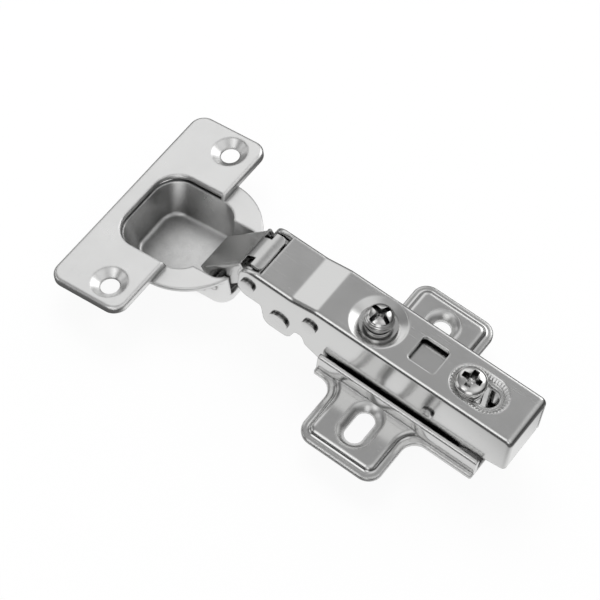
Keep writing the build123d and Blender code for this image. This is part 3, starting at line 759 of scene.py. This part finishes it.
@dataclass
class ChannelArm:
    """Cranked channel arm with its two screws."""

    screw_seat: float = 19.4 * MM
    front_dish: tuple[float, float] = (-8.2 * MM, 0.0)
    front_lip: tuple[float, float] = (6.86 * MM, 20.418 * MM)
    front_foot: tuple[float, float] = (4.75 * MM, 19.70 * MM)
    front_drop: float = 0.45 * MM
    front_points: int = 14
    front_around: int = 180
    rear_slot: tuple[float, float] = (17.85 * MM, 22.85 * MM)
    rear_lip: tuple[float, float] = (5.02 * MM, 20.51 * MM)
    rear_foot: tuple[float, float] = (3.58 * MM, 19.33 * MM)
    rear_drop: float = 0.20 * MM
    rear_points: int = 16
    tooth_pitch: float = 0.78 * MM
    tooth_height: float = 0.16 * MM
    tooth_steps: int = 12
    tooth_rise: tuple[float, float] = (0.12, 0.25)
    tooth_fall: tuple[float, float] = (0.70, 0.85)

    def front_wall(self) -> None:
        """Make the front dish's coned wall.

        A closed strip, straight from lip to foot and back a little lower, is turned about the dish's middle.
        """
        lip, foot = np.array(self.front_lip), np.array(self.front_foot)
        upper = lip + np.linspace(0.0, 1.0, self.front_points)[:, None] * (foot - lip)
        strip = np.concatenate([upper, upper[::-1] - np.array([0.0, self.front_drop])])
        turn = np.linspace(0.0, 2.0 * np.pi, self.front_around, endpoint=False)[:, None]
        x = self.front_dish[0] + strip[:, 0] * np.cos(turn)
        y = self.front_dish[1] + strip[:, 0] * np.sin(turn)
        piece = Surface.swept(x, y, strip[:, 1]).add("front_dish_wall", DISH_SHEET, "arm")

    def rear_wall(self) -> None:
        """Make the rear dish's toothed wall.

        A closed strip is carried along a stadium, whose straight sides are the slot's travel. Its upper face
        carries teeth, a triangle wave of the distance along the path that fades out at the lip and foot.
        """
        lip, foot = np.array(self.rear_lip), np.array(self.rear_foot)
        front, rear = self.rear_slot
        radius = (lip[0] + foot[0]) / 2
        teeth = round(2.0 * (rear - front + np.pi * radius) / self.tooth_pitch)
        count = self.tooth_steps * teeth
        angle, centre = stadium(rear - front, radius, count)
        tooth = np.abs(2.0 * ((np.arange(count) / self.tooth_steps) % 1.0) - 1.0)[:, None]
        share = np.linspace(0.0, 1.0, self.rear_points)
        upper = lip + share[:, None] * (foot - lip)
        fade = smoothstep(*self.tooth_rise, share) * (1.0 - smoothstep(*self.tooth_fall, share))
        strip = np.concatenate([upper, upper[::-1] - np.array([0.0, self.rear_drop])])
        raised = np.concatenate([fade, np.zeros_like(fade)])
        x = (front + rear) / 2 + centre + strip[:, 0] * np.cos(angle)
        y = strip[:, 0] * np.sin(angle)
        z = strip[:, 1] + self.tooth_height * tooth * raised
        piece = Surface.swept(x, y, z).add("rear_dish_wall", TOOTHED_SHEET, "arm")

    def build(self) -> None:
        """Dress the arm, line its two dishes and make its screws."""
        dress("hinge_arm", ARM_SHEET)
        self.front_wall()
        self.rear_wall()
        Screw("side_adjusting_screw", "side_screw", Ring.UNDERCUT, self.screw_seat, head_radius=3.75 * MM,
              flat_radius=1.0 * MM, shoulder_drop=2.6 * MM, thread_radius=3.0 * MM, thread_end=18.35 * MM,
              neck_radius=1.7 * MM, recess_turn_deg=-18.0, recess_reach=3.0 * MM,
              recess_depth=1.8 * MM).build()
        Screw("clamp_screw", "clamp_screw", Ring.STEPPED_NECK, self.screw_seat, head_radius=3.95 * MM,
              flat_radius=1.3 * MM, shoulder_drop=1.5 * MM, thread_radius=2.5 * MM, thread_end=13.7 * MM,
              neck_radius=2.5 * MM, recess_turn_deg=3.0, recess_reach=2.5 * MM, recess_half_width=0.95 * MM,
              recess_depth=1.9 * MM, recess_rise=0.2, turned_line=0.03 * MM).build()


@dataclass
class MountingPlate:
    """Cross-shaped plate that screws to the cabinet side."""

    slot_middle: float = 16.0 * MM
    slot_straight: float = 4.6 * MM
    funnel_lip: tuple[float, float] = (4.55 * MM, 2.505 * MM)
    funnel_foot: tuple[float, float] = (2.42 * MM, 0.80 * MM)
    funnel_curve: float = 1.7
    funnel_drop: float = 0.25 * MM
    funnel_points: int = 18
    funnel_around: int = 200
    pad_half: tuple[float, float] = (9.3 * MM, 24.7 * MM)
    pad_corner: float = 2.0 * MM
    root_radius: float = 6.0 * MM
    root_start: float = 14.6 * MM
    root_turn_deg: float = 40.0
    corner_points: int = 14
    side_points: int = 12
    slope_bend: tuple[tuple[float, float], ...] = (
        (-0.13 * MM, 1.80 * MM), (0.17 * MM, 1.20 * MM), (0.85 * MM, 1.205 * MM))
    slope_foot: float = 0.9 * MM
    slope_points: int = 18

    def slot_funnel(self, name: str, middle: float) -> None:
        """Make the drawn funnel of one slot.

        A closed strip is carried along a stadium, the slot's own form. Its upper face is flush with the pad
        at the lip and falls by a power of the distance in, so it is steepest at the hole.

        Args:
            name: The piece's name.
            middle: The slot's middle along Y.
        """
        lip, foot = np.array(self.funnel_lip), np.array(self.funnel_foot)
        angle, centre = stadium(self.slot_straight, (lip[0] + foot[0]) / 2, self.funnel_around)
        share = np.linspace(0.0, 1.0, self.funnel_points)
        radius = lip[0] + share * (foot[0] - lip[0])
        height = lip[1] + share ** self.funnel_curve * (foot[1] - lip[1])
        radius = np.concatenate([radius, radius[::-1]])
        height = np.concatenate([height, height[::-1] - self.funnel_drop])
        x = radius * np.sin(angle)
        y = middle + centre + radius * np.cos(angle)
        piece = Surface.swept(x, y, height).add(name, FUNNEL_SHEET, "plate")

    def pad_path(self) -> tuple[np.ndarray, np.ndarray]:
        """Edge of the raised pad on the +Y wing, from one root to the other.

        It is an arc of each root, straight sides and the two corners' arcs, each with its outward direction.

        Returns:
            Points and unit outward directions, each of shape (points, 2).
        """
        wide, long = self.pad_half
        turn = np.linspace(0.0, np.pi / 2, self.corner_points)
        corner = np.stack([np.cos(turn), np.sin(turn)], axis=1)
        bend = np.radians(np.linspace(180.0 + self.root_turn_deg, 180.0, self.side_points))
        root = np.stack([np.cos(bend), np.sin(bend)], axis=1)
        middle = np.array([wide + self.root_radius, self.root_start])
        side = np.linspace(self.root_start, long - self.pad_corner, self.side_points)[1:-1]
        points = np.concatenate([
            middle + self.root_radius * root,
            np.stack([np.full_like(side, wide), side], axis=1),
            np.array([wide, long]) - self.pad_corner + self.pad_corner * corner])
        outward = np.concatenate([-root, np.tile([1.0, 0.0], (len(side), 1)), corner])
        flip = np.array([-1.0, 1.0])
        return np.concatenate([points, points[::-1] * flip]), np.concatenate([outward, outward[::-1] * flip])

    def pad_slope(self, name: str, side: float) -> None:
        """Make the pressed slope round one wing's raised pad.

        A closed profile is carried along the pad's edge: a parabola, set by three points, that leaves the
        pad's rounded edge and runs out level on the rim, and a straight foot under it.

        Args:
            name: The piece's name.
            side: 1 for the +Y wing, -1 for the -Y wing.
        """
        points, outward = self.pad_path()
        share = np.linspace(0.0, 1.0, self.slope_points)[:, None]
        first, bend, last = np.array(self.slope_bend)
        curve = (1.0 - share) ** 2 * first + 2.0 * share * (1.0 - share) * bend + share ** 2 * last
        out = np.concatenate([curve[:, 0], [last[0], first[0]]])
        height = np.concatenate([curve[:, 1], [self.slope_foot, self.slope_foot]])
        x = points[:, :1] + out * outward[:, :1]
        y = side * (points[:, 1:] + out * outward[:, 1:])
        piece = Surface.ringed(x, y, height).add(name, SLOPE_SHEET, "plate")

    def build(self) -> None:
        """Dress the plate and make its slots' funnels and its pads' slopes."""
        dress("mounting_plate", PLATE_SHEET)
        self.slot_funnel("near_slot_funnel", -self.slot_middle)
        self.slot_funnel("far_slot_funnel", self.slot_middle)
        self.pad_slope("near_pad_slope", -1.0)
        self.pad_slope("far_pad_slope", 1.0)


@dataclass(frozen=True)
class Card:
    """Soft white card in the light tent, a round patch of sky."""

    name: str
    axis: tuple[float, float, float]
    full_deg: float
    fade_deg: float
    strength: float


CARDS = (
    Card("left_card", (-0.58, 0.52, 0.63), 11.0, 24.0, 0.68),
    Card("back_card", (0.12, 0.82, 0.55), 14.0, 26.0, 1.6),
    Card("front_card", (-0.24, -0.75, 0.62), 8.0, 17.0, 1.1),
    Card("front_high_card", (-0.20, -0.45, 0.87), 8.0, 17.0, 0.7),
    Card("front_right_card", (0.40, -0.84, 0.37), 9.0, 22.0, 1.0),
    Card("left_horizon_card", (-0.98, 0.05, 0.14), 7.0, 17.0, 0.95),
    Card("front_left_card", (-0.83, -0.50, 0.20), 10.0, 22.0, 0.9),
    Card("right_card", (0.45, 0.05, 0.88), 8.0, 28.0, 0.28),
    Card("low_back_card", (-0.52, 0.85, 0.05), 14.0, 32.0, 0.3),
    Card("low_left_card", (-0.82, 0.52, 0.22), 8.0, 22.0, 0.35),
)


@dataclass
class Studio:
    """Pale floor, a light tent with soft cards and the camera of the picture."""

    floor_drop: float = 0.4 * MM
    floor_half: float = 3.0
    floor_colour: tuple[float, ...] = (0.86, 0.86, 0.86, 1.0)
    floor_roughness: float = 0.9
    floor_glow: float = 0.93
    bright_floor: tuple[float, float] = (88.0 * MM, 29.0 * MM)
    bright_shares: tuple[float, float] = (0.72, 1.30)
    bright_levels: tuple[float, float] = (0.92, 0.06)
    contact_reach: float = 8.0 * MM
    contact_span: tuple[float, float] = (0.06, 0.42)
    contact_samples: int = 16
    tent_sides: tuple[float, float] = (-0.9, 0.5)
    tent_side_levels: tuple[float, float] = (0.20, 0.60)
    tent_heights: tuple[float, float] = (0.10, 0.70)
    tent_height_levels: tuple[float, float] = (0.05, 1.0)
    white: tuple[float, ...] = (1.0, 1.0, 1.0, 1.0)
    cards: tuple[Card, ...] = CARDS
    lamp_place: tuple[float, float, float] = (-0.35, 0.30, 0.90)
    lamp_size: float = 0.60
    lamp_watts: float = 6.0
    camera_azimuth: float = 28.38
    camera_elevation: float = 59.39
    camera_roll: float = 9.0
    camera_distance: float = 634.75 * MM
    camera_aside: tuple[float, float] = (23.38 * MM, -19.69 * MM)
    camera_near: float = 10.0 * MM
    focal_pixels: float = 2660.08
    frame_pixels: float = 600.0
    sensor: float = 36.0
    low_corner: Vector = field(default_factory=lambda: CAD_BOX[0].copy())
    middle: Vector = field(default_factory=lambda: (CAD_BOX[0] + CAD_BOX[1]) / 2)

    def camera(self) -> None:
        """Place the camera on the sphere round the plate's origin, rolled and set aside."""
        a, e = math.radians(self.camera_azimuth), math.radians(self.camera_elevation)
        back = Vector((math.sin(a) * math.cos(e), -math.cos(a) * math.cos(e), math.sin(e)))
        level = Vector((math.cos(a), math.sin(a), 0.0))
        upright = back.cross(level)
        roll = math.radians(self.camera_roll)
        right = level * math.cos(roll) + upright * math.sin(roll)
        up = upright * math.cos(roll) - level * math.sin(roll)
        data = bpy.data.cameras.new("camera")
        data.sensor_width = self.sensor
        data.lens = self.focal_pixels / self.frame_pixels * self.sensor
        data.clip_start = self.camera_near
        seen = bpy.data.objects.new("camera", data)
        place = back * self.camera_distance - right * self.camera_aside[0] - up * self.camera_aside[1]
        axes = Matrix((right, up, back)).transposed().to_4x4()
        seen.matrix_world = Matrix.Translation(place) @ axes
        bpy.context.scene.collection.objects.link(seen)
        bpy.context.scene.camera = seen

    def floor_white(self) -> bpy.types.Material:
        """Make the floor's material.

        It is white where the camera sees it, bright round the object where metal mirrors it, and keeps its
        shade where the object closes it in.

        Returns:
            The material.
        """
        made = bpy.data.materials.new("floor_white")
        made.use_nodes = True
        nodes = made.node_tree.nodes
        wiring = Wiring(made.node_tree)
        matt = nodes["Principled BSDF"]
        matt.inputs["Base Color"].default_value = self.floor_colour
        matt.inputs["Roughness"].default_value = self.floor_roughness
        place = wiring.add("ShaderNodeTexCoord", {}).outputs["Object"]
        across, along = self.bright_floor
        round_object = wiring.add("ShaderNodeMapping", {
            "Vector": place, "Scale": (1.0 / across, 1.0 / along, 0.0),
            "Location": (-self.middle.x / across, -self.middle.y / along, 0.0)})
        reach = wiring.add("ShaderNodeVectorMath", {0: round_object.outputs["Vector"]}, operation="LENGTH")
        fade = wiring.span(reach.outputs["Value"], self.bright_shares, self.bright_levels, "SMOOTHSTEP")
        path = wiring.add("ShaderNodeLightPath", {}).outputs
        shown = wiring.math("MAXIMUM", fade, path["Is Camera Ray"])
        glow = wiring.add("ShaderNodeEmission", {"Strength": shown})
        open_above = wiring.add("ShaderNodeAmbientOcclusion", {"Distance": self.contact_reach},
                                samples=self.contact_samples)
        contact = wiring.span(open_above.outputs["AO"], self.contact_span, (0.0, self.floor_glow),
                              "SMOOTHSTEP")
        mirrored = wiring.math("MAXIMUM", path["Is Camera Ray"], path["Is Glossy Ray"])
        share = wiring.math("MULTIPLY", mirrored, contact)
        mix = wiring.add("ShaderNodeMixShader", {"Fac": share, 1: matt.outputs["BSDF"],
                                                 2: glow.outputs["Emission"]})
        wiring.feed(nodes["Material Output"].inputs["Surface"], mix.outputs["Shader"])
        return made

    def floor(self) -> None:
        """Lay a wide pale floor just under the lowest point."""
        height = self.low_corner.z - self.floor_drop
        half = self.floor_half
        mesh = bpy.data.meshes.new("floor")
        corners = [(-half, -half, height), (half, -half, height), (half, half, height), (-half, half, height)]
        mesh.from_pydata(corners, [], [(0, 1, 2, 3)])
        mesh.materials.append(self.floor_white())
        laid = bpy.data.objects.new("floor", mesh)
        bpy.context.scene.collection.objects.link(laid)

    def world(self) -> None:
        """Hang the light tent: grey, lighter to the right, dark near the ground, white where it is seen."""
        tent = bpy.data.worlds.new("light_tent")
        bpy.context.scene.world = tent
        tent.use_nodes = True
        nodes = tent.node_tree.nodes
        wiring = Wiring(tent.node_tree)
        place = wiring.add("ShaderNodeTexCoord", {}).outputs["Generated"]
        parts = wiring.add("ShaderNodeSeparateXYZ", {"Vector": place}).outputs
        side = wiring.span(parts["X"], self.tent_sides, self.tent_side_levels)
        rise = wiring.span(parts["Z"], self.tent_heights, self.tent_height_levels, "SMOOTHSTEP")
        total = wiring.math("MULTIPLY", side, rise)
        for card in self.cards:
            toward = wiring.add("ShaderNodeVectorMath", {0: place, 1: Vector(card.axis).normalized()},
                                operation="DOT_PRODUCT", name=card.name)
            edge = (math.cos(math.radians(card.fade_deg)), math.cos(math.radians(card.full_deg)))
            patch = wiring.span(toward.outputs["Value"], edge, (0.0, card.strength), "SMOOTHSTEP")
            total = wiring.math("ADD", total, patch)
        lit = nodes["Background"]
        wiring.feed(lit.inputs["Color"], self.white)
        wiring.feed(lit.inputs["Strength"], total)
        seen = wiring.add("ShaderNodeBackground", {"Color": self.white})
        path = wiring.add("ShaderNodeLightPath", {}).outputs
        mix = wiring.add("ShaderNodeMixShader", {"Fac": path["Is Camera Ray"], 1: lit.outputs["Background"],
                                                 2: seen.outputs["Background"]})
        wiring.feed(nodes["World Output"].inputs["Surface"], mix.outputs["Shader"])

    def lamp(self) -> None:
        """Hang a square lamp over the object, turned to its middle and not mirrored in it."""
        data = bpy.data.lights.new("overhead", "AREA")
        data.size = self.lamp_size
        data.energy = self.lamp_watts
        hung = bpy.data.objects.new("overhead", data)
        hung.visible_glossy = False
        away = Vector(self.lamp_place) - self.middle
        turned = away.to_track_quat("Z", "Y").to_matrix().to_4x4()
        hung.matrix_world = Matrix.Translation(self.lamp_place) @ turned
        bpy.context.scene.collection.objects.link(hung)

    def build(self) -> None:
        """Set the view transform and make the light, the floor and the camera."""
        bpy.context.scene.view_settings.view_transform = "Standard"
        self.world()
        self.floor()
        self.lamp()
        self.camera()


def main() -> None:
    """Dress the hinge from the plate to the cup, then set the studio."""
    logging.basicConfig(level=logging.INFO, format="%(name)s: %(message)s")
    MountingPlate().build()
    ChannelArm().build()
    Linkage().build()
    DoorCup().build()
    Studio().build()


if __name__ == "__main__":
    main()
